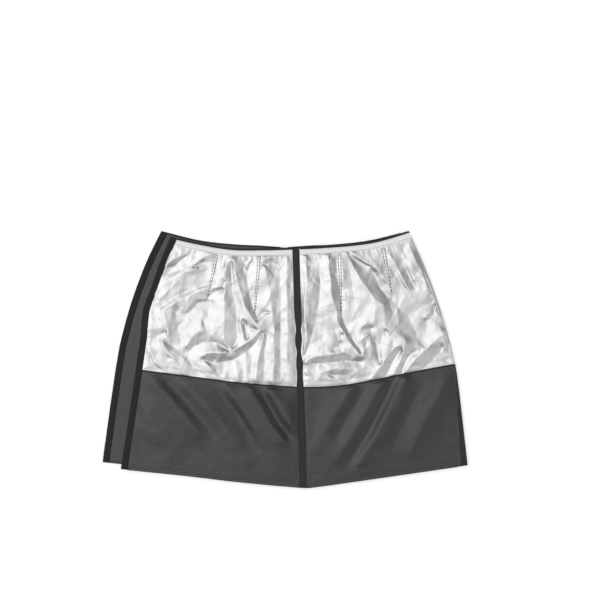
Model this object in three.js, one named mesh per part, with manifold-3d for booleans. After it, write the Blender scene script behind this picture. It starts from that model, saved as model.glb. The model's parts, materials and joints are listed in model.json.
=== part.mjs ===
// A light-control skirt for a lantern softbox, folded in half at its side fold and laid flat, with its
// silver inner face outwards. Its four panels are sewn side by side: front_left and front_right lie on top,
// and back_right and back_left lie under them. The waist, which goes round the lantern's cap, is at the top.
// Units are millimetres. +Z is up and +Y points to the waist. The origin is under the folded skirt's middle.

import * as THREE from "three";
import { mergeVertices } from "three/addons/utils/BufferGeometryUtils.js";
import Module from "manifold-3d";

const wasm = await Module();
wasm.setup();

// ---------------------------------------------------------------------------------------------
// Driving dimensions
// ---------------------------------------------------------------------------------------------

const HALF_WIDTH = 636; // folded skirt, across the hem
const HALF_HEIGHT = 448; // folded skirt, from its waist corners to the lowest point of its hem
const WAIST_HALF_WIDTH = 431; // folded skirt, across the waist

const SHELL = 1.6; // black cloth, with the air that its creases hold
const LINING = 2.4; // silver cloth, with the air that its creases hold
const TRIM = 1.2; // tape, band, binding, hem or tuck sewn onto the cloth
const GAP = 0.3; // clearance between pieces that touch
const AIR = 2.1; // air between the two layers

const CLOSURE_TAPE = 24; // width of the hook-and-loop tape on each free edge
const SEAM_TAPE = 25; // width of the tape over a panel seam
const HOOK_BAND = 19; // width of the white hook band at the waist
const BINDING = 6; // width of the waist binding
const HEM = 10; // width of the turned hem
const LINING_BINDING = 5; // width of the binding along the silver cloth's lower edge

const TUCK_TOP = 11; // width of a dart's tuck at the waist
const TUCK_TIP = 2.5; // width of a dart's tuck at its tip

const CURVE_STEPS = 14; // segments along one free curve
const OVERRUN = 60; // how far a strip runs past the edges that trim it
const FAR = 2000; // further than any edge of the skirt

// Heights of the stack, from the surface up. The back layer lies with its silver face and its trim downwards.
const CLOTH = LINING + GAP + SHELL;
const BACK_TRIM_Z = 0;
const BACK_CLOTH_Z = BACK_TRIM_Z + TRIM + GAP;
const BACK_SHELL_Z = BACK_CLOTH_Z + LINING + GAP;
const BACK_OUTSIDE_Z = BACK_CLOTH_Z + CLOTH + GAP;
const FRONT_CLOTH_Z = BACK_OUTSIDE_Z + TRIM + AIR;
const FRONT_LINING_Z = FRONT_CLOTH_Z + SHELL + GAP;
const FRONT_TRIM_Z = FRONT_CLOTH_Z + CLOTH + GAP;

// ---------------------------------------------------------------------------------------------
// The cut: edges and seams in plan
// ---------------------------------------------------------------------------------------------

const at = (x, y) => new THREE.Vector2(x, y);

/** Points along a smooth curve through a few set ones. */
function through(...points) {
  return new THREE.SplineCurve(points).getPoints(CURVE_STEPS);
}

/** The same curve on the other side of the skirt's middle. */
function mirrored(curve) {
  return curve.map((p) => at(-p.x, p.y));
}

/** Two curves that meet, as one. */
function joined(first, second) {
  return [...first.slice(0, -1), ...second];
}

// The folded edge on the right: the silver part bows out, and the black part flares straight to the hem.
const waistCorner = at(WAIST_HALF_WIDTH, HALF_HEIGHT);
const hemCorner = at(HALF_WIDTH, -369);
const foldBow = [at(478, 348), at(529, 215), at(568, 89), at(588, 5), at(604, -90)];
const foldEdge = through(waistCorner, ...foldBow, hemCorner);

const frontSeamTop = at(40, 390);
const frontHemMiddle = at(66, -HALF_HEIGHT);
const frontFreeTop = at(-397, 429);
const frontFreeEnd = at(-571, -382);
const frontFreeBow = [at(-432, 348), at(-464, 257), at(-494, 176), at(-504, 73), at(-525, -72)];
const front = {
  freeEdge: through(frontFreeTop, ...frontFreeBow, frontFreeEnd),
  waist: joined(
    through(frontFreeTop, at(-296, 406), at(-180, 388), at(-60, 387), frontSeamTop),
    through(frontSeamTop, at(140, 395), at(250, 404), at(334, 418), waistCorner),
  ),
  hem: joined(
    through(frontFreeEnd, at(-338, -406), at(-170, -426), frontHemMiddle),
    through(frontHemMiddle, at(105, -445), at(292, -419), hemCorner),
  ),
  liningEdge: joined(
    through(at(-530, -33), at(-338, -58), at(-150, -82), at(53, -97)),
    through(at(53, -97), at(208, -90), at(470, -39), at(604, -15)),
  ),
  seam: [frontSeamTop, frontHemMiddle],
};

const backWaistHalf = through(at(0, 391), at(86, 397), at(170, 401), at(296, 415), waistCorner);
const backFreeTop = at(-WAIST_HALF_WIDTH, HALF_HEIGHT);
const backFreeEnd = at(-HALF_WIDTH, -358);
const backFreeBow = [at(-480, 348), at(-531, 215), at(-567, 89), at(-584, 5), at(-602, -110)];
const back = {
  freeEdge: through(backFreeTop, ...backFreeBow, backFreeEnd),
  waist: joined(mirrored(backWaistHalf).reverse(), backWaistHalf),
  hem: [backFreeEnd, at(0, -425), hemCorner],
  liningEdge: joined(
    through(at(-590, -12), at(-338, -44), at(-150, -66), at(0, -74)),
    through(at(0, -74), at(208, -62), at(420, -34), at(604, -10)),
  ),
  seam: [at(0, 391), at(0, -425)],
};

// The front layer lifts along a straight line inside the bowed fold. What is beyond it stays with the fold.
const liftLine = [at(416, 446), at(604, -374)];

// Each panel has two darts, given from under the waist to their tips.
const darts = {
  front_left: [[at(-236, 366), at(-268, 215)], [at(-88, 362), at(-105, 150)]],
  front_right: [[at(192, 370), at(198, 160)], [at(345, 390), at(373, 229)]],
  back_right: [[at(150, 372), at(158, 165)], [at(300, 388), at(328, 232)]],
  back_left: [[at(-150, 372), at(-158, 165)], [at(-300, 388), at(-328, 232)]],
};

// ---------------------------------------------------------------------------------------------
// Plan regions
// ---------------------------------------------------------------------------------------------

/** The curve moved to its left by a distance, or to its right if that is negative. */
function offset(curve, distance) {
  return curve.map((p, i) => {
    const before = curve[Math.max(i - 1, 0)];
    const after = curve[Math.min(i + 1, curve.length - 1)];
    const along = after.clone().sub(before).normalize();
    return at(p.x - along.y * distance, p.y + along.x * distance);
  });
}

/** The curve with both of its ends run on straight. */
function runOn(curve, length) {
  const [start, next] = curve;
  const [end, previous] = [curve.at(-1), curve.at(-2)];
  const before = start.clone().add(start.clone().sub(next).setLength(length));
  const after = end.clone().add(end.clone().sub(previous).setLength(length));
  return [before, ...curve, after];
}

/** The strip between two distances from a curve. */
function strip(curve, near, far) {
  const long = runOn(curve, OVERRUN);
  return [...offset(long, near), ...offset(long, far).reverse()];
}

/** Everything on one side of a seam that runs from the waist down: 1 is its left-hand side, towards +X. */
function besideSeam(seam, side) {
  const long = runOn(seam, FAR);
  return [...offset(long, (side * GAP) / 2), ...offset(long, side * FAR).reverse()];
}

/** Everything on one side of a curve that runs across: 1 is towards the waist, and -1 is towards the hem. */
function beyondLine(curve, side) {
  const long = offset(runOn(curve, FAR), (side * GAP) / 2);
  return [...long, at(2 * FAR, side * FAR), at(-2 * FAR, side * FAR)];
}

/** The whole outline of a layer. */
function outlineOf(layer) {
  const top = joined(layer.waist, foldEdge);
  const low = joined([...layer.hem].reverse(), [...layer.freeEdge].reverse());
  return [...top.slice(0, -1), ...low.slice(0, -1)];
}

// ---------------------------------------------------------------------------------------------
// Solids
// ---------------------------------------------------------------------------------------------

/** A flat solid of a plan outline, standing on a height. */
function slab(outline, [z, thickness]) {
  const counterClockwise = THREE.ShapeUtils.isClockWise(outline) ? [...outline].reverse() : outline;
  const shape = new THREE.Shape(counterClockwise);
  const geometry = new THREE.ExtrudeGeometry(shape, { depth: thickness, bevelEnabled: false });
  geometry.translate(0, 0, z);
  geometry.deleteAttribute("normal");
  geometry.deleteAttribute("uv");
  const merged = mergeVertices(geometry, 1e-3);
  return new wasm.Manifold(
    new wasm.Mesh({
      numProp: 3,
      vertProperties: merged.attributes.position.array,
      triVerts: new Uint32Array(merged.index.array),
    }),
  );
}

/** What plan regions have in common, between the heights of a level. */
function common(level, ...regions) {
  return regions.map((region) => slab(region, level)).reduce((solid, other) => solid.intersect(other));
}

/** A solid with plan regions cut out of it, between the heights of a level. */
function without(solid, level, ...regions) {
  return regions.reduce((rest, region) => rest.subtract(slab(region, level)), solid);
}

/** A manifold-3d solid as a three.js geometry. */
function geometryOf(solid) {
  const mesh = solid.getMesh();
  const geometry = new THREE.BufferGeometry();
  geometry.setAttribute("position", new THREE.BufferAttribute(new Float32Array(mesh.vertProperties), 3));
  geometry.setIndex([...mesh.triVerts]);
  geometry.computeVertexNormals();
  return geometry;
}

// ---------------------------------------------------------------------------------------------
// Materials
// ---------------------------------------------------------------------------------------------

const silverCloth = new THREE.MeshStandardMaterial({ color: 0xd6d7d8, roughness: 0.32, metalness: 0.9 });
const blackCloth = new THREE.MeshStandardMaterial({ color: 0x454545, roughness: 0.6, metalness: 0 });
const blackTape = new THREE.MeshStandardMaterial({ color: 0x2c2c2c, roughness: 0.95, metalness: 0 });
const blackBinding = new THREE.MeshStandardMaterial({ color: 0x222222, roughness: 0.8, metalness: 0 });
const whiteHook = new THREE.MeshStandardMaterial({ color: 0xe9e9e9, roughness: 0.75, metalness: 0 });

const skirt = new THREE.Group();

/** Adds a solid to the skirt as a named piece. */
function add(name, solid, material) {
  const mesh = new THREE.Mesh(geometryOf(solid), material);
  mesh.name = name;
  skirt.add(mesh);
}

// ---------------------------------------------------------------------------------------------
// The panels
// ---------------------------------------------------------------------------------------------

/**
 * One panel: its black shell, its silver lining, and the trim sewn onto their inner face.
 * layer is front or back. sides are the plan regions that bound the panel, and tapes are those that its trim
 * keeps clear of. The levels are [height, thickness] pairs: inner is the lining's, and body is the whole
 * cloth's, which the shell fills below the lining's lower edge.
 */
function addPanel(name, { layer, sides, tapes, outer, inner, body, trim }) {
  const outline = outlineOf(layer);
  const trimOf = (region) => without(common(trim, outline, region, ...sides), trim, ...tapes);
  const lined = beyondLine(layer.liningEdge, 1);
  const unlined = beyondLine(layer.liningEdge, -1);

  const shell = common(outer, outline, ...sides).add(common(body, outline, unlined, ...sides));
  add(`${name}_shell`, shell, blackCloth);
  add(`${name}_lining`, common(inner, outline, lined, ...sides), silverCloth);
  add(`${name}_lining_binding`, trimOf(strip(layer.liningEdge, 1, 1 - LINING_BINDING)), blackBinding);
  add(`${name}_waist_binding`, trimOf(strip(layer.waist, 1, -BINDING)), blackBinding);
  add(`${name}_hook_band`, trimOf(strip(layer.waist, -BINDING - GAP, -BINDING - HOOK_BAND)), whiteHook);
}

/** The turned hem along a panel's lower edge. */
function addHem(name, { layer, sides, tapes, trim }) {
  const strips = common(trim, outlineOf(layer), strip(layer.hem, -1, HEM), ...sides);
  add(`${name}_hem`, without(strips, trim, ...tapes), blackBinding);
}

/** The stitched tucks of a panel's two darts, each tapering from under the hook band to its tip. */
function addDarts(name, { layer, trim }) {
  darts[name].forEach(([top, tip], i) => {
    const along = tip.clone().sub(top).normalize();
    const across = at(-along.y, along.x);
    const pair = (from, width) => [width / 2, -width / 2].map((d) => from.clone().addScaledVector(across, d));
    const tuck = [...pair(top, TUCK_TOP), ...pair(tip, TUCK_TIP).reverse()];
    const band = strip(layer.waist, OVERRUN, -BINDING - HOOK_BAND - GAP);
    add(`${name}_dart_${i + 1}`, without(common(trim, tuck), trim, band), silverCloth);
  });
}

// Half of a seam's tape lies on each side of it, and other trim keeps clear of the tape by a gap.
const seamTape = (seam) => strip(seam, -SEAM_TAPE / 2, SEAM_TAPE / 2);
const aroundSeamTape = (seam) => strip(seam, -SEAM_TAPE / 2 - GAP, SEAM_TAPE / 2 + GAP);

// The side seam's tape comes round the fold below the lining, and lies under the back layer above that.
const tapeShownTop = at(598, -30);
const tapeShownEnd = liftLine[1];
const besideTape = [tapeShownTop, tapeShownEnd, at(tapeShownEnd.x, -FAR)];
const tapeShown = [...besideTape, at(FAR, -FAR), at(FAR, tapeShownTop.y)];
const aroundTapeShown = tapeShown.map((p) => at(p.x - GAP, p.y + GAP));
const tapeUnder = strip(foldEdge, OVERRUN, -SEAM_TAPE);
const aroundTapeUnder = strip(foldEdge, OVERRUN, -SEAM_TAPE - GAP);

const frontLevels = {
  outer: [FRONT_CLOTH_Z, SHELL],
  inner: [FRONT_LINING_Z, LINING],
  body: [FRONT_CLOTH_Z, CLOTH],
  trim: [FRONT_TRIM_Z, TRIM],
};
const backLevels = {
  outer: [BACK_SHELL_Z, SHELL],
  inner: [BACK_CLOTH_Z, LINING],
  body: [BACK_CLOTH_Z, CLOTH],
  trim: [BACK_TRIM_Z, TRIM],
};
const panels = {
  front_left: {
    layer: front,
    sides: [besideSeam(front.seam, -1)],
    tapes: [aroundSeamTape(front.seam), strip(front.freeEdge, -OVERRUN, CLOSURE_TAPE + GAP)],
    ...frontLevels,
  },
  front_right: {
    layer: front,
    sides: [besideSeam(front.seam, 1), besideSeam(liftLine, -1)],
    tapes: [aroundSeamTape(front.seam)],
    ...frontLevels,
  },
  back_right: {
    layer: back,
    sides: [besideSeam(back.seam, 1)],
    tapes: [aroundSeamTape(back.seam), aroundTapeUnder],
    ...backLevels,
  },
  back_left: {
    layer: back,
    sides: [besideSeam(back.seam, -1)],
    tapes: [aroundSeamTape(back.seam)],
    ...backLevels,
  },
};
for (const [name, panel] of Object.entries(panels)) {
  addPanel(name, panel);
  addHem(name, panel);
  addDarts(name, panel);
}

// The margin beyond the lift line is turned cloth, so its shell fills the height down to the back layer.
addPanel("side_fold", {
  layer: front,
  sides: [besideSeam(liftLine, 1)],
  tapes: [aroundTapeShown],
  ...frontLevels,
  outer: [BACK_OUTSIDE_Z, FRONT_CLOTH_Z + SHELL - BACK_OUTSIDE_Z],
  body: [BACK_OUTSIDE_Z, FRONT_CLOTH_Z + CLOTH - BACK_OUTSIDE_Z],
});

// ---------------------------------------------------------------------------------------------
// The tapes
// ---------------------------------------------------------------------------------------------

/** A tape: a strip of a layer, cut off at its sides. */
function addTape(name, layer, level, ...regions) {
  add(name, common(level, outlineOf(layer), ...regions), blackTape);
}

const { trim: frontTrim } = frontLevels;
const { trim: backTrim } = backLevels;
addTape("front_seam_tape_left", front, frontTrim, seamTape(front.seam), besideSeam(front.seam, -1));
addTape("front_seam_tape_right", front, frontTrim, seamTape(front.seam), besideSeam(front.seam, 1));
addTape("back_seam_tape_left", back, backTrim, seamTape(back.seam), besideSeam(back.seam, -1));
addTape("back_seam_tape_right", back, backTrim, seamTape(back.seam), besideSeam(back.seam, 1));
addTape("side_seam_tape_front", front, frontTrim, tapeShown);
addTape("side_seam_tape_back", back, backTrim, tapeUnder);

// Closing the skirt brings these two face to face: one is on an inner face, and the other on an outer face.
addTape("front_closure_tape", front, frontTrim, strip(front.freeEdge, -1, CLOSURE_TAPE));
addTape("back_closure_tape", back, [BACK_OUTSIDE_Z, TRIM], strip(back.freeEdge, -1, CLOSURE_TAPE));

export default skirt;
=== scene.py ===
"""Visual model of a lantern softbox's light-control skirt, folded in half at its side and laid flat.

Every piece takes its place from the frame: its outline is read from the CAD solid that it stands for.
Lengths are in metres. +Z is up, +Y points to the waist, and the silver inner face is outwards.
"""

import json
import logging
import math
from dataclasses import dataclass, field
from enum import Enum

import bmesh
import bpy
import numpy as np
from mathutils import Matrix, Vector, noise
from mathutils.kdtree import KDTree


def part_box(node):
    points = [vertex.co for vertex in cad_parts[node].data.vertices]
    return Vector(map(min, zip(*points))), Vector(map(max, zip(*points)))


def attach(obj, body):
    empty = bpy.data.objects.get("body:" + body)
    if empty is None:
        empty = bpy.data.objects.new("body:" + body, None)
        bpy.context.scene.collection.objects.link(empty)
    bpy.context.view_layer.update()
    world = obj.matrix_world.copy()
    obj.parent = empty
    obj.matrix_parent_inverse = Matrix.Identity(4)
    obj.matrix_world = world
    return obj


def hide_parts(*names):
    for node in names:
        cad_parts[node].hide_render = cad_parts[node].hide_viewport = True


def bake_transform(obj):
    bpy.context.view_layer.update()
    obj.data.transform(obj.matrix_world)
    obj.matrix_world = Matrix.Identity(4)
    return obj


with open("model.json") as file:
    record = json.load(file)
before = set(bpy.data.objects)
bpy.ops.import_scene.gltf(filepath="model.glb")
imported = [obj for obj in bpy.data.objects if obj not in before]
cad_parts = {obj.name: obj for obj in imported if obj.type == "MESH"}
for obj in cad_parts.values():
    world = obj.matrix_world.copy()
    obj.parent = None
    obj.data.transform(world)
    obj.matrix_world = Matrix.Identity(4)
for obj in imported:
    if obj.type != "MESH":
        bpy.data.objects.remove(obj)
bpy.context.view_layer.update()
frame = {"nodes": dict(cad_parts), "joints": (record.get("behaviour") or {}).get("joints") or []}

MM = 0.001
SAME_PLACE = 0.001 * MM  # points closer than this are one
TINY = 1e-9  # keeps a division by a length from failing
log = logging.getLogger("skirt")


# ---------------------------------------------------------------------------------------------
# Plan shapes
# ---------------------------------------------------------------------------------------------


def arc_share(line: np.ndarray) -> np.ndarray:
    """Gives how far along a line each of its points is.

    Args:
        line: Points in order, one a row.

    Returns:
        Shares from 0 to 1, by length.
    """
    steps = np.linalg.norm(np.diff(line, axis=0), axis=1)
    run = np.concatenate([[0.0], np.cumsum(steps)])
    return run / max(run[-1], TINY)


def along(line: np.ndarray, share: np.ndarray) -> np.ndarray:
    """Gives the points at shares of a line's length.

    Args:
        line: Points in order, one a row.
        share: Shares from 0 to 1.

    Returns:
        One point for each share.
    """
    if len(line) == 1:
        return np.repeat(line, len(share), axis=0)
    run = arc_share(line)
    return np.stack([np.interp(share, run, line[:, i]) for i in range(2)], axis=1)


@dataclass
class Plan:
    """A four-sided piece as it lies in plan.

    Low and high run towards +X, and left and right run towards +Y.
    """

    low: np.ndarray
    high: np.ndarray
    left: np.ndarray
    right: np.ndarray

    @classmethod
    def of_node(cls, node: str) -> "Plan":
        """Reads the outline of a flat CAD solid.

        Args:
            node: The CAD node's name.

        Returns:
            Its four sides.
        """
        solid = bmesh.new()
        solid.from_mesh(frame["nodes"][node].data)
        bmesh.ops.remove_doubles(solid, verts=solid.verts, dist=SAME_PLACE)
        solid.normal_update()
        heights = [v.co.z for v in solid.verts]
        faces = {
            level: [f for f in solid.faces if all(abs(v.co.z - level) < SAME_PLACE for v in f.verts)]
            for level in (min(heights), max(heights))
        }
        whole = max(faces.values(), key=lambda group: sum(f.calc_area() for f in group))
        rim = [e for e in solid.edges if sum(f in whole for f in e.link_faces) == 1]
        loop = cls._ordered(rim)
        solid.free()
        return cls._from_loop(loop)

    @staticmethod
    def _ordered(edges: list) -> np.ndarray:
        """Puts boundary edges in order.

        Args:
            edges: The edges of one closed loop.

        Returns:
            The loop's points in plan, counter-clockwise.
        """
        links: dict = {}
        for edge in edges:
            for vert in edge.verts:
                links.setdefault(vert, []).append(edge)
        start = min(links, key=lambda v: (v.co.x, v.co.y))
        loop, edge = [start], links[start][0]
        while True:
            vert = edge.other_vert(loop[-1])
            if vert is start:
                break
            loop.append(vert)
            edge = next(e for e in links[vert] if e is not edge)
        points = np.array([v.co.xy for v in loop])
        x, y = points.T
        turning = np.sum(x * np.roll(y, -1) - y * np.roll(x, -1))
        return points if turning > 0 else points[::-1]

    @classmethod
    def _from_loop(cls, loop: np.ndarray) -> "Plan":
        """Splits an outline at its four corners.

        Args:
            loop: The outline's points, counter-clockwise.

        Returns:
            Its four sides.
        """
        low_left, low_right, high_right, high_left = (
            int(np.argmax(loop @ np.array(way))) for way in ((-1, -1), (1, -1), (1, 1), (-1, 1))
        )

        def side(start: int, end: int) -> np.ndarray:
            """Gives the points from one corner round to another."""
            count = (end - start) % len(loop)
            return loop[[(start + i) % len(loop) for i in range(count + 1)]]

        return cls(
            low=side(low_left, low_right),
            right=side(low_right, high_right),
            high=side(high_right, high_left)[::-1],
            left=side(high_left, low_left)[::-1],
        )

    def joined_to(self, other: "Plan") -> "Plan":
        """Joins a piece that lies on its right.

        Args:
            other: The piece beyond the right side.

        Returns:
            The two as one.
        """
        return Plan(
            low=np.concatenate([self.low, other.low]),
            high=np.concatenate([self.high, other.high]),
            left=self.left,
            right=other.right,
        )

    def place(self, u: np.ndarray, v: np.ndarray) -> np.ndarray:
        """Spreads a unit square over the shape.

        Args:
            u: Shares from the left side to the right.
            v: Shares from the low side to the high.

        Returns:
            A point in plan for each pair.
        """
        u1, v1 = u[:, None], v[:, None]
        across = (1 - v1) * along(self.low, u) + v1 * along(self.high, u)
        upward = (1 - u1) * along(self.left, v) + u1 * along(self.right, v)
        corners = (
            (1 - u1) * (1 - v1) * self.low[0]
            + u1 * (1 - v1) * self.low[-1]
            + (1 - u1) * v1 * self.high[0]
            + u1 * v1 * self.high[-1]
        )
        return across + upward - corners

    @property
    def width(self) -> float:
        """The longer of the low and high sides."""
        return max(np.linalg.norm(np.diff(s, axis=0), axis=1).sum() for s in (self.low, self.high))

    @property
    def height(self) -> float:
        """The longer of the left and right sides."""
        return max(np.linalg.norm(np.diff(s, axis=0), axis=1).sum() for s in (self.left, self.right))


# ---------------------------------------------------------------------------------------------
# Layers, blends and creases
# ---------------------------------------------------------------------------------------------


@dataclass(frozen=True)
class Layer:
    """Heights of the cloths and trims of one layer, measured from its datum towards its silver face.

    The tops are the highest that creases may reach, sunk is how far the lining's creases are let
    down, and stitch is how far a dart's stitches stand over the lining.
    """

    datum: float
    up: int
    hollow: float
    shell: float
    lining: float
    trim: float
    lip: float
    shell_top: float
    lining_top: float
    sunk: float
    stitch: float

    def z(self, rise: float | np.ndarray) -> float | np.ndarray:
        """Turns a height in the layer into a height in the row frame."""
        return self.datum + self.up * rise


FRONT = Layer(
    datum=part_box("front_left_shell")[0].z,
    up=1,
    hollow=0.8 * MM,
    shell=3.8 * MM,
    lining=4.3 * MM,
    trim=4.45 * MM,
    lip=2.7 * MM,
    shell_top=15.5 * MM,
    lining_top=15.9 * MM,
    sunk=2.7 * MM,
    stitch=1.3 * MM,
)
BACK = Layer(
    datum=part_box("back_left_shell")[1].z,
    up=-1,
    hollow=0.8 * MM,
    shell=1.3 * MM,
    lining=1.8 * MM,
    trim=1.95 * MM,
    lip=0.3 * MM,
    shell_top=4.8 * MM,
    lining_top=5.6 * MM,
    sunk=0.0,
    stitch=0.6 * MM,
)
TRIM_THICK = 1.2 * MM  # tape, band or binding sewn onto a cloth
SEAM_HALF = 12.5 * MM  # half the width of a seam tape
BAND_DEPTH = 25 * MM  # from the waist to below the hook band
CLOSURE_WIDTH = 24 * MM  # width of the tape on a free edge
CREASE_STEP = 1.4 * MM  # spacing of the points along a crease line
SKIN_ROUNDS = 420  # rounds that hang a cloth between its crease lines
HOLLOW_REACH = 26 * MM  # from a seam to where the shell lies hollow under the lining
LINING_CLEAR = 0.5 * MM  # the least air between shell and lining
LUMP_SIZE = 48 * MM  # width of one soft lump of a cloth
FREE_REACH = 18 * MM  # from a seam to where a cloth lies as it likes
FOLD_START = 14 * MM  # from the lining's lower edge to where a fold of the shell is full
GATHER_DEPTH = 24 * MM  # how deep the gathers beside a seam run
GATHER_WIDTH = 13 * MM  # width of one gather
GATHER_START = 5 * MM  # from a seam to where its gathers are full
BAND_GATHERS = 45 * MM  # how far below the band its gathers run
KNEE_SHARE = 0.84  # share of a cloth's ceiling up to which its creases rise freely
LONG_SWAY = 110 * MM  # length of one slow stray of a sewn strip
SHORT_SWAY = 30 * MM  # length of one quick stray of its edge
TURN_STEP = 2 * MM  # length of one step of cloth round the folded side


@dataclass(frozen=True)
class Bend:
    """Says which bodies a piece moves with."""

    fixed: str
    moving: str = ""
    start: tuple = (0.0, 0.0, 0.0)
    end: tuple = (0.0, 0.0, 0.0)

    def hold(self, piece: bpy.types.Object) -> None:
        """Parents a finished piece to its fixed body; a piece that bends between two bodies only has its
        place at rest baked in.

        Args:
            piece: The piece, in its place at rest.
        """
        if self.moving:
            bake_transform(piece)
        else:
            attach(piece, self.fixed)


def bend_at(joint: str, fixed: str, moving: str, reach: float) -> Bend:
    """Makes the bend of the cloth beside a hinge.

    Args:
        joint: The joint's name.
        fixed: The body on the hinge's right.
        moving: The body on its left.
        reach: How far to the left the bend goes.

    Returns:
        A bend square to the hinge, from its line.
    """
    hinge = next(j for j in frame["joints"] if j["name"] == joint)
    start = Vector(hinge["pos_m"])
    across = Vector(hinge["axis"]).cross(Vector((0, 0, 1))).normalized()
    across = -across if across.x > 0 else across
    return Bend(fixed, moving, tuple(start), tuple(start + across * reach))


def smooth(value: np.ndarray) -> np.ndarray:
    """Turns a share that is cut off at 0 and 1 into one that starts and ends gently."""
    share = np.clip(value, 0, 1)
    return share * share * (3 - 2 * share)


def hollow_rise(layer: Layer, depth: np.ndarray) -> np.ndarray:
    """Gives the height of the shell where the lining covers it.

    Args:
        layer: The shell's layer.
        depth: How far each point is from where shell and lining are sewn together.

    Returns:
        Heights in the layer: high at the seams, and hollow between them.
    """
    return layer.shell - (layer.shell - layer.hollow) * smooth(depth / HOLLOW_REACH)


def settle(place: np.ndarray, base: np.ndarray, held: np.ndarray, creases: tuple, rounds: int) -> np.ndarray:
    """Hangs a cloth between its crease lines, as a skin of soap hangs between wires.

    Args:
        place: The grid's points in plan, (columns, rows, 2).
        base: Heights where the cloth is held or sewn, and the first guess elsewhere.
        held: True where the cloth is held.
        creases: Lines of (x, y, rise above base) in millimetres.
        rounds: How often the finished skin is smoothed.

    Returns:
        The height of each point of the grid.
    """
    columns, rows, _ = place.shape
    flat = place.reshape(-1, 2)
    tree = KDTree(len(flat))
    for index, point in enumerate(flat):
        tree.insert((point[0], point[1], 0.0), index)
    tree.balance()
    total, count = np.zeros(len(flat)), np.zeros(len(flat))
    for line in creases:
        points = np.array(line, float) * MM
        for a, b in zip(points[:-1], points[1:]):
            steps = int(np.hypot(*(b - a)[:2]) / CREASE_STEP) + 2
            for share in np.linspace(0, 1, steps):
                x, y, rise = a + (b - a) * share
                _, index, _ = tree.find((x, y, 0.0))
                total[index] += rise
                count[index] += 1
    total, count = total.reshape(columns, rows), count.reshape(columns, rows)
    on_line = (count > 0) & ~held
    target = np.where(on_line, base + total / np.maximum(count, 1), base)
    fixed = held | on_line
    height = target.copy()
    for _ in range(SKIN_ROUNDS):
        height = np.where(fixed, target, neighbour_mean(height))
    for _ in range(rounds):
        height = np.where(held, target, 0.5 * height + 0.5 * neighbour_mean(height))
    return height


def neighbour_mean(height: np.ndarray) -> np.ndarray:
    """Gives the mean height of each point's four neighbours."""
    wide = np.pad(height, 1, mode="edge")
    return 0.25 * (wide[2:, 1:-1] + wide[:-2, 1:-1] + wide[1:-1, 2:] + wide[1:-1, :-2])


def lumps_in(place: np.ndarray, size: float, seed: float) -> np.ndarray:
    """Gives each point a height in smooth random lumps.

    Args:
        place: Points in plan, (columns, rows, 2).
        size: The width of one lump, in metres.
        seed: Which part of the endless pattern is used.

    Returns:
        Heights of about -1 to 1.
    """
    spots = (Vector((x / size + seed, y / size - seed, seed)) for x, y in place.reshape(-1, 2))
    lumps = np.array([noise.noise(s) + 0.5 * noise.noise(s * 2.1) for s in spots])
    return lumps.reshape(place.shape[:2])


def creases_in(place: np.ndarray, count: int, seed: int) -> np.ndarray:
    """Strews short straight creases over a cloth, most of them running down from the waist.

    Args:
        place: Points in plan, (columns, rows, 2).
        count: How many creases there are.
        seed: The random seed.

    Returns:
        Heights of about -1 to 1, with a sharp crest or valley along each crease.
    """
    chance = np.random.RandomState(seed)
    low, high = place.reshape(-1, 2).min(axis=0), place.reshape(-1, 2).max(axis=0)
    total = np.zeros(place.shape[:2])
    for _ in range(count):
        middle = low + (high - low) * chance.rand(2)
        slant = math.pi / 2 + chance.normal(0, 0.75)
        length, width = chance.uniform(12, 62) * MM, chance.uniform(3.5, 18) * MM
        size = chance.uniform(0.4, 1.0) * chance.choice((-1, 1)) * width / (18 * MM)
        away = place - middle
        run = away @ np.array([math.cos(slant), math.sin(slant)])
        off = away @ np.array([-math.sin(slant), math.cos(slant)])
        total += size * np.exp(-((run / length) ** 2)) * np.exp(-np.abs(off) / width)
    return total
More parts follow.
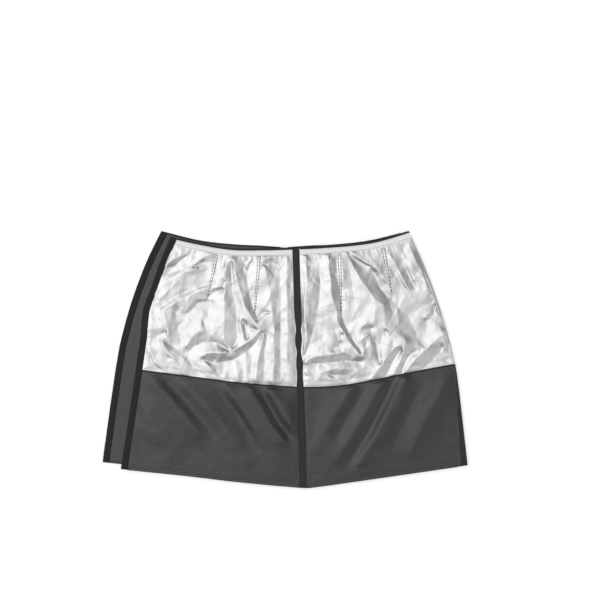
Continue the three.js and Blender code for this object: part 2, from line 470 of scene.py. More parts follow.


# Crease lines of the silver lining, listed one by one. Each line is a crest or a valley, as
# (x, y, rise of the cloth there) in millimetres, and the cloth hangs between the lines.
LEFT_LINING_CREASES = (
    ((-465, 215, 3), (-410, 275, 9), (-350, 305, 10), (-305, 320, 9)),
    ((-430, 185, 3), (-365, 230, 2), (-295, 255, 2), (-245, 270, 3)),
    ((-425, 175, 9), (-360, 210, 8), (-285, 245, 7), (-220, 255, 7), (-205, 270, 5)),
    ((-205, 270, 5), (-225, 285, 6), (-255, 280, 5)),
    ((-210, 245, 3), (-245, 235, 2), (-270, 215, 1)),
    ((-310, 335, 7), (-280, 360, 7), (-245, 370, 5)),
    ((-315, 320, 2), (-285, 340, 1), (-245, 340, 2), (-210, 325, 3)),
    ((-425, 175, 9), (-415, 140, 9), (-405, 85, 8)),
    ((-380, 165, 2), (-370, 110, 1), (-360, 60, 1)),
    ((-430, 65, 9), (-395, 10, 9), (-340, -60, 6)),
    ((-410, 60, 2), (-360, 25, 1), (-315, -25, 1), (-285, -70, 1)),
    ((-280, -5, 7), (-250, -40, 8), (-225, -75, 4)),
    ((-245, 0, 2), (-210, -30, 1), (-185, -75, 1)),
    ((-480, 105, 4), (-445, 110, 6), (-415, 105, 5)),
    ((-480, 75, 1), (-445, 80, 1), (-415, 95, 1)),
    ((-480, 25, 5), (-465, 35, 7), (-430, 15, 6), (-395, 5, 5)),
    ((-465, 30, 7), (-450, -10, 6), (-415, -35, 4)),
    ((-470, 10, 1), (-460, -15, 1), (-430, -40, 1)),
    ((-345, 45, 8), (-310, 95, 10), (-275, 105, 9), (-225, 110, 7)),
    ((-350, 10, 2), (-315, 45, 1), (-285, 60, 1), (-240, 60, 1), (-190, 30, 2)),
    ((-290, 10, 9), (-270, 25, 11), (-210, 25, 11), (-155, 45, 10), (-115, 70, 10), (-80, 105, 12)),
    ((-290, 0, 3), (-260, -10, 1), (-225, -10, 0), (-175, 0, 0),
     (-130, 30, 0), (-100, 60, 1), (-70, 95, 4)),
    ((-345, 170, 5), (-310, 210, 6), (-270, 215, 4)),
    ((-340, 160, 2), (-300, 200, 1), (-260, 200, 2)),
    ((-205, 335, 8), (-205, 280, 9), (-210, 215, 10), (-210, 140, 11), (-210, 70, 9), (-195, 35, 5)),
    ((-185, 340, 3), (-185, 280, 4), (-180, 220, 4), (-167, 190, 4), (-165, 130, 3), (-165, 75, 3),
     (-180, 35, 2)),
    ((-180, 350, 9), (-170, 290, 10), (-155, 235, 11), (-140, 185, 12), (-115, 150, 12), (-90, 110, 13)),
    ((-145, 325, 3), (-130, 270, 3), (-120, 215, 3), (-110, 175, 2), (-95, 140, 3)),
    ((-155, 140, 9), (-140, 70, 6)),
    ((-140, 135, 2), (-130, 75, 1)),
    ((-90, 110, 13), (-120, 130, 8), (-150, 145, 9)),
    ((-100, 105, 4), (-135, 115, 4)),
    ((-90, 110, 13), (-70, 140, 11), (-45, 175, 9)),
    ((-95, 140, 3), (-75, 165, 3), (-50, 165, 4)),
    ((-130, 305, 2), (-120, 340, 2)),
    ((-140, 355, 7), (-130, 320, 7), (-115, 355, 7)),
    ((-100, 360, 5), (-95, 245, 6), (-100, 180, 5)),
    ((-75, 350, 7), (-60, 360, 6), (-10, 355, 5)),
    ((-70, 330, 2), (-45, 340, 1), (-15, 315, 1)),
    ((-70, 325, 7), (-55, 260, 9), (-45, 175, 10)),
    ((-15, 305, 3), (-12, 210, 4), (-14, 70, 4), (-12, -85, 3)),
    ((10, 355, 7), (10, 210, 8), (10, 70, 7), (10, -20, 7), (20, -85, 4)),
    ((-70, 105, 10), (-80, 50, 10), (-95, -10, 9), (-100, -85, 7)),
    ((-60, 90, 5), (-70, 35, 4), (-70, -25, 4), (-75, -85, 3)),
    ((-45, 175, 10), (-35, 105, 10), (-35, 0, 9), (-40, -85, 8)),
    ((-135, 20, 4), (-130, -85, 6)),
    ((-115, 10, 3.5), (-115, -85, 3.5)),
    ((-170, -10, 5), (-160, -85, 6)),
    ((-145, 0, 3.5), (-145, -85, 3.5)),
    ((-420, 305, 2), (-380, 330, 2), (-345, 360, 1)),
    ((-410, 335, 6), (-375, 355, 6), (-330, 375, 4)),
)

RIGHT_LINING_CREASES = (
    ((75, 360, 10), (80, 270, 12), (70, 210, 12), (70, 145, 11), (80, 70, 11), (65, 20, 9)),
    ((118, 370, 5), (125, 280, 5), (120, 210, 4), (108, 130, 4), (85, 60, 3), (65, 5, 2)),
    ((150, 370, 10), (160, 280, 11), (165, 220, 12), (185, 165, 11),
     (185, 130, 11), (220, 70, 10), (265, 10, 12)),
    ((180, 370, 3), (185, 280, 2), (195, 210, 1), (200, 155, 1), (210, 120, 1), (238, 70, 1), (270, 25, 4)),
    ((200, 360, 6), (205, 280, 6), (210, 210, 6)),
    ((215, 370, 5), (235, 280, 4), (245, 175, 3), (265, 115, 3)),
    ((215, 370, 8), (245, 315, 10), (270, 270, 11), (295, 240, 12), (315, 210, 12), (345, 190, 12)),
    ((225, 365, 3), (255, 335, 1), (290, 315, 1), (315, 305, 1),
     (325, 270, 1), (345, 235, 2), (370, 220, 2)),
    ((235, 375, 7), (280, 340, 8), (325, 315, 9), (355, 270, 8), (375, 235, 6)),
    ((345, 190, 12), (350, 150, 11), (350, 110, 12), (390, 88, 13), (420, 65, 17)),
    ((375, 215, 1), (400, 175, 1), (430, 155, 1), (450, 115, 1), (465, 75, 1), (490, 45, 2)),
    ((420, 65, 17), (380, 35, 11), (350, 0, 10), (300, -70, 7)),
    ((405, 35, 2), (378, -5, 1), (350, -65, 2)),
    ((420, 65, 17), (415, 25, 12), (400, -15, 9), (375, -60, 7)),
    ((475, 35, 3), (440, 20, 1), (420, -10, 1), (405, -60, 1)),
    ((370, 360, 9), (395, 315, 10), (420, 265, 11), (445, 220, 8)),
    ((410, 350, 4), (430, 300, 3), (455, 250, 4)),
    ((360, 340, 5), (405, 270, 5), (445, 210, 6), (490, 145, 9)),
    ((415, 360, 7), (445, 295, 9), (475, 235, 9), (505, 175, 8)),
    ((490, 145, 9), (510, 165, 8), (515, 210, 6)),
    ((490, 130, 2), (520, 160, 1), (530, 195, 1)),
    ((445, 370, 8), (485, 290, 10), (520, 215, 10), (555, 130, 9)),
    ((565, 100, 12), (530, 70, 11), (490, 35, 9), (445, -10, 8), (420, -45, 6)),
    ((550, 45, 2), (525, 10, 1), (480, -40, 1)),
    ((565, 100, 12), (560, 55, 10), (560, 40, 8)),
    ((575, 70, 2), (570, 35, 2)),
    ((355, 105, 6), (350, 50, 8), (340, 10, 9)),
    ((65, -10, 8), (100, 10, 10), (160, 20, 10), (215, 25, 10), (240, 10, 7), (265, 5, 8)),
    ((95, -15, 3), (160, -10, 2), (220, -5, 1), (265, -10, 2)),
    ((270, 10, 12), (285, 50, 3), (290, 80, 3)),
    ((275, 75, 9), (290, 85, 9), (305, 50, 8), (300, 10, 7), (270, -5, 5)),
    ((315, 70, 2), (325, 25, 1), (335, -15, 2)),
    ((130, -45, 7), (175, -30, 8), (235, -30, 7), (290, -25, 5)),
    ((140, -50, 6), (165, -70, 7), (210, -80, 4)),
    ((160, -55, 1), (210, -55, 1), (235, -70, 1)),
    ((265, 115, 7), (290, 130, 8), (315, 120, 6)),
    ((270, 105, 3), (305, 110, 2)),
    ((160, 45, 5), (185, 80, 5), (210, 90, 4)),
    ((170, 35, 2), (200, 60, 1)),
    ((65, -25, 2), (75, -60, 1)),
    ((60, -35, 6), (80, -50, 6), (110, -65, 4)),
    ((270, 360, 6), (290, 345, 6), (320, 355, 5)),
    ((235, 355, 2), (265, 340, 1), (300, 325, 1)),
)

# Soft folds of the black skirt below the lining, in the same way.
LEFT_SKIRT_FOLDS = (
    ((-460, -70, 4.5), (-375, -165, 5), (-295, -260, 4)),
    ((-415, -75, -0.5), (-325, -165, -0.5), (-240, -270, 0)),
    ((-350, -85, 3), (-255, -175, 4), (-170, -290, 3), (-125, -370, 1.5)),
    ((-250, -85, -0.5), (-165, -190, -1), (-95, -310, 0)),
    ((-200, -95, 3.5), (-135, -185, 5), (-75, -300, 3)),
    ((-125, -95, 3.5), (-88, -165, 6.5), (-58, -220, 7), (-5, -285, 5)),
    ((-88, -98, 0.5), (-60, -150, -1.5), (-34, -205, -1.5), (20, -272, -1)),
    ((-58, -98, 4), (-22, -150, 6), (14, -212, 5.5), (42, -258, 3)),
    ((-490, -160, 3), (-445, -260, 3.5), (-390, -340, 1.5)),
    ((-510, -260, -0.5), (-455, -350, -0.3)),
    ((-330, -300, -0.5), (-250, -380, 0)),
    ((-40, -330, 2.5), (10, -390, 1.5)),
)
RIGHT_SKIRT_FOLDS = (
    ((390, -55, -1), (345, -150, -1.5), (300, -245, -1.5), (220, -370, -0.5)),
    ((425, -50, 4), (380, -150, 6), (330, -245, 5.5), (255, -365, 3)),
    ((350, -65, 4), (305, -145, 5.5), (255, -235, 5), (180, -350, 2.5)),
    ((300, -75, 0.5), (240, -170, 0), (180, -270, 0.3)),
    ((245, -80, 3), (175, -190, 3.5), (115, -300, 2)),
    ((160, -85, 0.5), (120, -170, 0.3), (90, -290, 0.5)),
    ((500, -55, 1), (440, -160, 0.3), (380, -300, 0.5)),
    ((560, -75, 3.5), (500, -190, 4), (440, -320, 2.5)),
    ((575, -160, 1), (545, -280, 0.5)),
)


# ---------------------------------------------------------------------------------------------
# Meshes
# ---------------------------------------------------------------------------------------------


def finish_mesh(name: str, shape: bmesh.types.BMesh) -> bpy.types.Object:
    """Turns a bmesh into an object at the origin.

    Args:
        name: The piece's name.
        shape: Its mesh, which is freed.

    Returns:
        The new object.
    """
    for face in shape.faces:
        face.smooth = True
    mesh = bpy.data.meshes.new(name)
    shape.to_mesh(mesh)
    shape.free()
    piece = bpy.data.objects.new(name, mesh)
    bpy.context.scene.collection.objects.link(piece)
    return piece


def grid_shape(points: np.ndarray, flat: np.ndarray) -> bmesh.types.BMesh:
    """Lays a bmesh grid over a field of points.

    Args:
        points: (columns, rows, 3) places.
        flat: (columns, rows, 2) places on the flat cloth, in metres, kept as UVs.

    Returns:
        The grid, facing up where columns run along X and rows along Y.
    """
    columns, rows, _ = points.shape
    shape = bmesh.new()
    bmesh.ops.create_grid(shape, x_segments=columns - 1, y_segments=rows - 1, size=1)
    shape.verts.ensure_lookup_table()
    layer = shape.loops.layers.uv.new("cloth")
    for index, vert in enumerate(shape.verts):
        vert.co = points[index % columns, index // columns]
    for face in shape.faces:
        for loop in face.loops:
            index = loop.vert.index
            loop[layer].uv = flat[index % columns, index // columns]
    return shape


def make_cloth(
    name: str, points: np.ndarray, flat: np.ndarray, thick: float, turned: bool
) -> bpy.types.Object:
    """Makes a sheet of cloth with its thickness behind its face.

    Args:
        name: The piece's name.
        points: (columns, rows, 3) places of its face.
        flat: The same points on the flat cloth.
        thick: Its thickness.
        turned: True where the face looks down.

    Returns:
        The new piece.
    """
    shape = grid_shape(points, flat)
    if turned:
        bmesh.ops.reverse_faces(shape, faces=shape.faces[:])
    piece = finish_mesh(name, shape)
    wall = piece.modifiers.new("cloth_thickness", "SOLIDIFY")
    wall.thickness = thick
    wall.offset = -1
    return piece


@dataclass
class StitchRow:
    """A row of machine stitches along a line of points."""

    line: np.ndarray
    pitch: float = 5.0 * MM
    length: float = 3.6 * MM
    width: float = 0.9 * MM
    height: float = 0.5 * MM

    def add_to(self, shape: bmesh.types.BMesh) -> None:
        """Sews the row into a mesh as its second material.

        Args:
            shape: The mesh.
        """
        steps = np.linalg.norm(np.diff(self.line, axis=0), axis=1)
        run = np.concatenate([[0.0], np.cumsum(steps)])
        for middle in np.arange(self.pitch, run[-1] - self.pitch / 2, self.pitch):
            spot, ahead = (Vector(self._at(run, middle + d)) for d in (0.0, self.length / 2))
            way = (ahead - spot).normalized()
            turn = Vector((1, 0, 0)).rotation_difference(way).to_matrix().to_4x4()
            size = Matrix.Diagonal((self.length / 2, self.width / 2, self.height / 2, 1))
            thread = bmesh.ops.create_uvsphere(
                shape, u_segments=6, v_segments=4, radius=1, matrix=Matrix.Translation(spot) @ turn @ size
            )
            for face in {f for v in thread["verts"] for f in v.link_faces}:
                face.material_index = 1

    def _at(self, run: np.ndarray, where: float) -> list:
        """Gives the point at a length along the line, whose points stand at the lengths in run."""
        return [float(np.interp(where, run, self.line[:, i])) for i in range(3)]


def make_strip(name: str, rings: np.ndarray, flat: np.ndarray, stitches: list) -> bpy.types.Object:
    """Makes a closed strip by sweeping a closed section along it.

    Args:
        name: The piece's name.
        rings: (steps, section points, 3) places, with each section open at its seam.
        flat: (steps, section points, 2) places on the flat tape.
        stitches: Rows of stitches on it.

    Returns:
        The new piece.
    """
    closed = np.concatenate([rings, rings[:, :1]], axis=1)
    shape = grid_shape(closed, np.concatenate([flat, flat[:, :1]], axis=1))
    bmesh.ops.remove_doubles(shape, verts=shape.verts[:], dist=SAME_PLACE)
    ends = [e for e in shape.edges if e.is_boundary]
    bmesh.ops.holes_fill(shape, edges=ends, sides=0)
    bmesh.ops.recalc_face_normals(shape, faces=shape.faces[:])
    threads = bmesh.new()
    for row in stitches:
        row.add_to(threads)
    if stitches:
        sewn = bpy.data.meshes.new(name + "_thread")
        threads.to_mesh(sewn)
        shape.from_mesh(sewn)
        bpy.data.meshes.remove(sewn)
    threads.free()
    return finish_mesh(name, shape)


def flat_section(low: float, thick: float) -> list:
    """Gives the section of a flat tape with a slight crown.

    Args:
        low: Height of its underside in the layer.
        thick: Its thickness at the middle.

    Returns:
        (share across, height) points round it.
    """
    across = np.linspace(0, 1, 9)
    top = [(a, low + thick * (1 - 0.6 * abs(2 * a - 1) ** 5)) for a in across]
    return top + [(a, low) for a in (1.0, 0.66, 0.33, 0.0)]


def wrapped_section(low: float, thick: float, lip: float, past: float) -> list:
    """Gives the section of a binding that is folded round the cloth's edge.

    Args:
        low: Height of the cloth's face in the layer.
        thick: The thickness of the fold on the face.
        lip: Height of the fold's outside behind the cloth.
        past: How far it stands out past the edge, as a share of its width.

    Returns:
        (share across, height) points round it, with the cloth's edge at 1.
    """
    top, wall = low + thick, 0.45 * MM
    middle = (top + lip) / 2
    outer = [(0.0, low + 0.4 * thick), (0.08, top - 0.1 * thick), (0.5, top), (0.92, top - 0.1 * thick)]
    nose = [(1 + 0.7 * past, top - 0.3 * thick), (1 + past, middle), (1 + 0.7 * past, lip + 0.3 * thick)]
    under = [(0.9, lip), (0.3, lip), (0.3, lip + wall), (0.9, lip + wall)]
    return outer + nose + under + [(1 + 0.2 * past, middle), (0.9, low), (0.0, low)]


@dataclass(frozen=True)
class FoldedSide:
    """The turn of the cloth round the folded side, from the front layer to the back one."""

    steps: int = 8
    bulge: float = 0.6

    def carry(self, line: np.ndarray, rise: float | np.ndarray) -> np.ndarray:
        """Carries a line on round the fold.

        Args:
            line: Points that end at the fold, (points, ..., 3).
            rise: The line's height in the front layer there.

        Returns:
            The line with the turn added to its end.
        """
        last = line[-1]
        back = BACK.z(rise - (FRONT.shell - BACK.shell))
        middle, radius = (last[..., 2] + back) / 2, (last[..., 2] - back) / 2
        turned = []
        for angle in np.linspace(0, math.pi, self.steps + 1)[1:]:
            point = last.copy()
            point[..., 0] = last[..., 0] + self.bulge * radius * math.sin(angle)
            point[..., 2] = middle + radius * math.cos(angle)
            turned.append(point)
        return np.concatenate([line, np.array(turned)])


class Way(Enum):
    """Which way a strip runs over its outline."""

    ACROSS = "across"
    UPRIGHT = "upright"


class Edge(Enum):
    """The side of a strip's outline that is the cloth's own edge."""

    NONE = "none"
    LOW = "low"
    HIGH = "high"


@dataclass
class Strip:
    """A tape, band or binding that lies on a layer.

    The section's shares run from the cloth's inside to its own edge. Each pucker is a share of the
    length, its half width there, and how much of the strip's width it takes.
    """

    name: str
    plan: Plan
    layer: Layer
    way: Way
    section: list
    edge: Edge = Edge.NONE
    rows: tuple = ()
    row_height: float = 0.0
    wander: float = 0.5 * MM
    seed: float = 1.0
    step: float = 5.0 * MM
    turn: FoldedSide | None = None
    ground: "Cloth | None" = None
    pucker: tuple = ()
    pitch: float = 5.0 * MM
    stitch: tuple = (3.6 * MM, 0.9 * MM)

    def build(self) -> bpy.types.Object:
        """Makes the strip with its stitches.

        Returns:
            The new piece.
        """
        long_side = self.plan.height if self.way is Way.UPRIGHT else self.plan.width
        count = int(long_side / self.step) + 2
        run = np.linspace(0, 1, count)
        rings = np.stack([self._line(run, share, rise, long_side) for share, rise in self.section], axis=1)
        wide = self.plan.width if self.way is Way.UPRIGHT else self.plan.height
        shares = np.array([share for share, _ in self.section]) * wide
        turned = np.arange(1, len(rings) - count + 1) * TURN_STEP
        run_length = np.concatenate([run * long_side, long_side + turned])
        flat = np.stack(np.meshgrid(run_length, shares, indexing="ij"), axis=-1)
        stitches = [
            StitchRow(self._line(run, share, self.row_height, long_side), self.pitch, *self.stitch)
            for share in self.rows
        ]
        return make_strip(self.name, rings, flat, stitches)

    def _line(self, run: np.ndarray, share: float, rise: float, length: float) -> np.ndarray:
        """Gives one line along the strip.

        Args:
            run: Shares along it.
            share: Share across it.
            rise: Height in the layer.
            length: The strip's length.

        Returns:
            Points in the row frame.
        """
        share = 1 - share if self.edge is Edge.LOW else share
        inside = float(np.clip(share, 0, 1))
        if self.way is Way.UPRIGHT:
            point, near, far = (self.plan.place(np.full(len(run), s), run) for s in (inside, 0.0, 1.0))
        else:
            point, near, far = (self.plan.place(run, np.full(len(run), s)) for s in (inside, 0.0, 1.0))
        point = point + (far - near) * (share - inside)
        sway = self._sway(run * length / LONG_SWAY, 0)
        edge_sway = self._sway(run * length / SHORT_SWAY, 9 * share)
        width = np.linalg.norm(far - near, axis=1, keepdims=True)
        direction = (far - near) / np.maximum(width, TINY)
        point = point + direction * (self.wander * (sway + 0.35 * edge_sway))[:, None]
        for middle, half, squeeze in self.pucker:
            near_it = np.exp(-(((run - middle) / half) ** 2))[:, None]
            point = point + direction * (0.5 - share) * width * (squeeze * near_it)
        if self.ground is None:
            height = self.layer.z(rise) + self.layer.up * 0.25 * MM * sway
        else:
            height = self.ground.height_at(point) + self.layer.up * rise
        line = np.column_stack([point, height])
        return line if self.turn is None else self.turn.carry(line, rise)

    def _sway(self, where: np.ndarray, lane: float) -> np.ndarray:
        """Gives how far a hand-sewn strip strays along its length, from about -1 to 1."""
        return np.array([noise.noise(Vector((w, self.seed, lane))) for w in where])


# ---------------------------------------------------------------------------------------------
# Finishes
# ---------------------------------------------------------------------------------------------


def linear(colour: str) -> tuple:
    """Turns an sRGB hex colour into linear red, green, blue and alpha."""
    parts = [int(colour[i : i + 2], 16) / 255 for i in (1, 3, 5)]
    return (*(c / 12.92 if c <= 0.04045 else ((c + 0.055) / 1.055) ** 2.4 for c in parts), 1.0)


def add_node(
    tree: bpy.types.NodeTree, kind: str, inputs: dict | None = None, **settings: object
) -> bpy.types.Node:
    """Adds a node.

    Args:
        tree: The material's node tree.
        kind: The node's type.
        inputs: A value or a linked output for each named input.
        settings: The node's own settings.

    Returns:
        The new node.
    """
    node = tree.nodes.new(kind)
    for name, value in settings.items():
        setattr(node, name, value)
    for name, value in (inputs or {}).items():
        if isinstance(value, bpy.types.NodeSocket):
            tree.links.new(value, node.inputs[name])
        else:
            node.inputs[name].default_value = value
    return node


def blank_material(name: str) -> tuple:
    """Makes a node material with nothing in it but its output.

    Args:
        name: The material's name.

    Returns:
        The material, its tree and its output node.
    """
    material = bpy.data.materials.new(name)
    material.use_nodes = True
    tree = material.node_tree
    tree.nodes.clear()
    return material, tree, tree.nodes.new("ShaderNodeOutputMaterial")


@dataclass(frozen=True)
class ClothFinish:
    """A woven or knitted finish: a base colour that varies in patches, a weave and a crinkle.

    The patch, weave and crinkle are lengths on the cloth, and roughness is its least and its most.
    """

    name: str
    colour: str
    worn_colour: str
    metallic: float
    roughness: tuple
    patch: float
    weave: float
    weave_depth: float
    crinkle: float = 30 * MM
    crinkle_depth: float = 0.0
    sheen: float = 0.0
    specular: float = 0.5

    def make(self) -> bpy.types.Material:
        """Builds the node material.

        Returns:
            The material.
        """
        material, tree, output = blank_material(self.name)
        cloth = add_node(tree, "ShaderNodeUVMap", uv_map="cloth").outputs["UV"]
        patches = add_node(
            tree, "ShaderNodeTexNoise", {"Vector": cloth, "Scale": 1 / self.patch, "Detail": 4.0}
        ).outputs["Fac"]
        base = add_node(
            tree,
            "ShaderNodeMix",
            {"Factor": patches, "A": linear(self.colour), "B": linear(self.worn_colour)},
            data_type="RGBA",
        )
        smoothest, roughest = self.roughness
        rough = add_node(
            tree,
            "ShaderNodeMapRange",
            {"Value": patches, "From Min": 0.3, "From Max": 0.7, "To Min": smoothest, "To Max": roughest},
        )
        bump = self._weave_bump(tree, cloth)
        if self.crinkle_depth:
            bump = self._crinkle_bump(tree, cloth, bump)
        shader = add_node(
            tree,
            "ShaderNodeBsdfPrincipled",
            {
                "Roughness": rough.outputs["Result"],
                "Metallic": self.metallic,
                "Normal": bump,
                "Sheen Weight": self.sheen,
                "Sheen Roughness": 0.5,
                "Specular IOR Level": self.specular,
            },
        )
        tree.links.new(base.outputs["Result"], shader.inputs["Base Color"])
        tree.links.new(shader.outputs["BSDF"], output.inputs["Surface"])
        return material

    def _weave_bump(self, tree: bpy.types.NodeTree, cloth: bpy.types.NodeSocket) -> bpy.types.NodeSocket:
        """Crosses two sets of threads.

        Args:
            tree: The material's node tree.
            cloth: Places on the flat cloth.

        Returns:
            The bumped normal.
        """
        # A wave texture of scale 1 has 20 / 2 pi bands in a unit.
        scale = 2 * math.pi / 20 / self.weave
        threads = [
            add_node(
                tree,
                "ShaderNodeTexWave",
                {"Vector": cloth, "Scale": scale, "Distortion": 0.4},
                wave_type="BANDS",
                bands_direction=way,
            ).outputs["Fac"]
            for way in ("X", "Y")
        ]
        crossed = add_node(tree, "ShaderNodeMath", {0: threads[0], 1: threads[1]}, operation="MAXIMUM")
        return add_node(
            tree,
            "ShaderNodeBump",
            {"Height": crossed.outputs[0], "Distance": self.weave_depth, "Strength": 1.0},
        ).outputs["Normal"]

    def _crinkle_bump(
        self, tree: bpy.types.NodeTree, cloth: bpy.types.NodeSocket, under: bpy.types.NodeSocket
    ) -> bpy.types.NodeSocket:
        """Adds the small sharp creases of a coated cloth.

        Args:
            tree: The material's node tree.
            cloth: Places on the flat cloth.
            under: The normal so far.

        Returns:
            The bumped normal.
        """
        creases = add_node(
            tree,
            "ShaderNodeTexNoise",
            {"Vector": cloth, "Scale": 1 / self.crinkle, "Detail": 3.0, "Distortion": 0.6},
            noise_type="RIDGED_MULTIFRACTAL",
        ).outputs["Fac"]
        return add_node(
            tree,
            "ShaderNodeBump",
            {"Height": creases, "Distance": self.crinkle_depth, "Strength": 1.0, "Normal": under},
        ).outputs["Normal"]


# Nylon with an aluminised polyurethane coat: a satin mirror, crinkled by packing. Its yarns are
# 0.25 mm apart and are drawn at 1.6 mm to show.
SILVER = ClothFinish(
    name="aluminised_nylon",
    colour="#d4d4d6",
    worn_colour="#cbccce",
    metallic=1.0,
    roughness=(0.14, 0.21),
    patch=90 * MM,
    weave=1.6 * MM,
    weave_depth=0.01 * MM,
    crinkle=19 * MM,
    crinkle_depth=0.36 * MM,
)
# Coated nylon taffeta: dull black with a soft grey gloss. Its yarns are drawn at 1.4 mm to show.
BLACK_NYLON = ClothFinish(
    name="black_coated_nylon_taffeta",
    colour="#0f0f10",
    worn_colour="#1e1e1f",
    metallic=0.0,
    roughness=(0.18, 0.3),
    patch=45 * MM,
    weave=1.4 * MM,
    weave_depth=0.03 * MM,
    crinkle=16 * MM,
    crinkle_depth=0.7 * MM,
    sheen=0.05,
    specular=0.76,
)
# Ribbed polyester tape over the seams: flat black ribs 1.5 mm apart.
SEAM_RIBBON = ClothFinish(
    name="ribbed_polyester_tape",
    colour="#19191b",
    worn_colour="#222224",
    metallic=0.0,
    roughness=(0.6, 0.75),
    patch=20 * MM,
    weave=1.5 * MM,
    weave_depth=0.12 * MM,
    sheen=0.2,
)
# Knitted nylon loop pile: a deep, nearly shineless black. Its loops are 1 mm apart, drawn at 1.8 mm.
LOOP_PILE = ClothFinish(
    name="knitted_loop_pile",
    colour="#212122",
    worn_colour="#2c2c2d",
    metallic=0.0,
    roughness=(0.85, 0.95),
    patch=14 * MM,
    weave=1.8 * MM,
    weave_depth=0.35 * MM,
    crinkle=4 * MM,
    crinkle_depth=0.4 * MM,
    sheen=0.35,
    specular=0.25,
)
# Folded grosgrain binding: dark and dull, with cross ribs 1.3 mm apart.
GROSGRAIN = ClothFinish(
    name="grosgrain_binding",
    colour="#161617",
    worn_colour="#212122",
    metallic=0.0,
    roughness=(0.65, 0.8),
    patch=15 * MM,
    weave=1.3 * MM,
    weave_depth=0.15 * MM,
    sheen=0.15,
)
# Moulded white hook tape: rows of small stiff hooks on a nylon ground, 1 mm apart, drawn at 1.8 mm.
HOOK_TAPE = ClothFinish(
    name="white_hook_tape",
    colour="#fbfbfa",
    worn_colour="#ffffff",
    metallic=0.0,
    roughness=(0.45, 0.6),
    patch=25 * MM,
    weave=1.8 * MM,
    weave_depth=0.2 * MM,
)


@dataclass(frozen=True)
class ThreadFinish:
    """Twisted sewing thread: a fine spiral of plies on a plain dyed colour."""

    name: str
    colour: str
    roughness: float = 0.55

    def make(self) -> bpy.types.Material:
        """Builds the node material.

        Returns:
            The material.
        """
        material, tree, output = blank_material(self.name)
        place = add_node(tree, "ShaderNodeTexCoord").outputs["Object"]
        plies = add_node(tree, "ShaderNodeTexNoise", {"Vector": place, "Scale": 900.0, "Detail": 2.0})
        bump = add_node(tree, "ShaderNodeBump", {"Height": plies.outputs["Fac"], "Distance": 0.1 * MM})
        look = {"Base Color": linear(self.colour), "Roughness": self.roughness}
        shader = add_node(tree, "ShaderNodeBsdfPrincipled", {**look, "Normal": bump.outputs["Normal"]})
        tree.links.new(shader.outputs["BSDF"], output.inputs["Surface"])
        return material


# Bonded polyester thread, black on the black cloths and grey on the white tape. The dark grey thread on the
# lining's darts is drawn in long wide dashes: real stitching, and painted shade along the pleats' edges.
BLACK_THREAD = ThreadFinish("black_polyester_thread", "#0e0e0f")
GREY_THREAD = ThreadFinish("grey_polyester_thread", "#9a9b9d")
DARK_THREAD_AND_PAINTED_SHADE = ThreadFinish("dark_grey_thread_and_painted_shade", "#3c3d3f")


@dataclass
class Wardrobe:
    """Makes each finish once and puts it on pieces."""

    made: dict = field(default_factory=dict)

    def dress(self, piece: bpy.types.Object, slot: str, *finishes: ClothFinish | ThreadFinish) -> None:
        """Puts finishes on a piece, in the order of its material slots.

        Args:
            piece: The piece.
            slot: The record's material slot; not used.
            finishes: Its finishes.
        """
        for finish in finishes:
            if finish.name not in self.made:
                self.made[finish.name] = finish.make()
            piece.data.materials.append(self.made[finish.name])


def fit(
    piece: bpy.types.Object, slot: str, finish: tuple, nodes: list, bend: Bend, wardrobe: Wardrobe
) -> bpy.types.Object:
    """Dresses a finished piece, hides the CAD nodes it stands for, and hands it to its bend.

    Args:
        piece: The piece.
        slot: The record's material slot.
        finish: Its finishes, in order.
        nodes: The CAD nodes it stands for.
        bend: What it moves with.
        wardrobe: Where finishes are made.

    Returns:
        The same piece.
    """
    wardrobe.dress(piece, slot, *finish)
    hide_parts(*nodes)
    bend.hold(piece)
    log.info("%s", piece.name)
    return piece


# ---------------------------------------------------------------------------------------------
# Cloths
# ---------------------------------------------------------------------------------------------


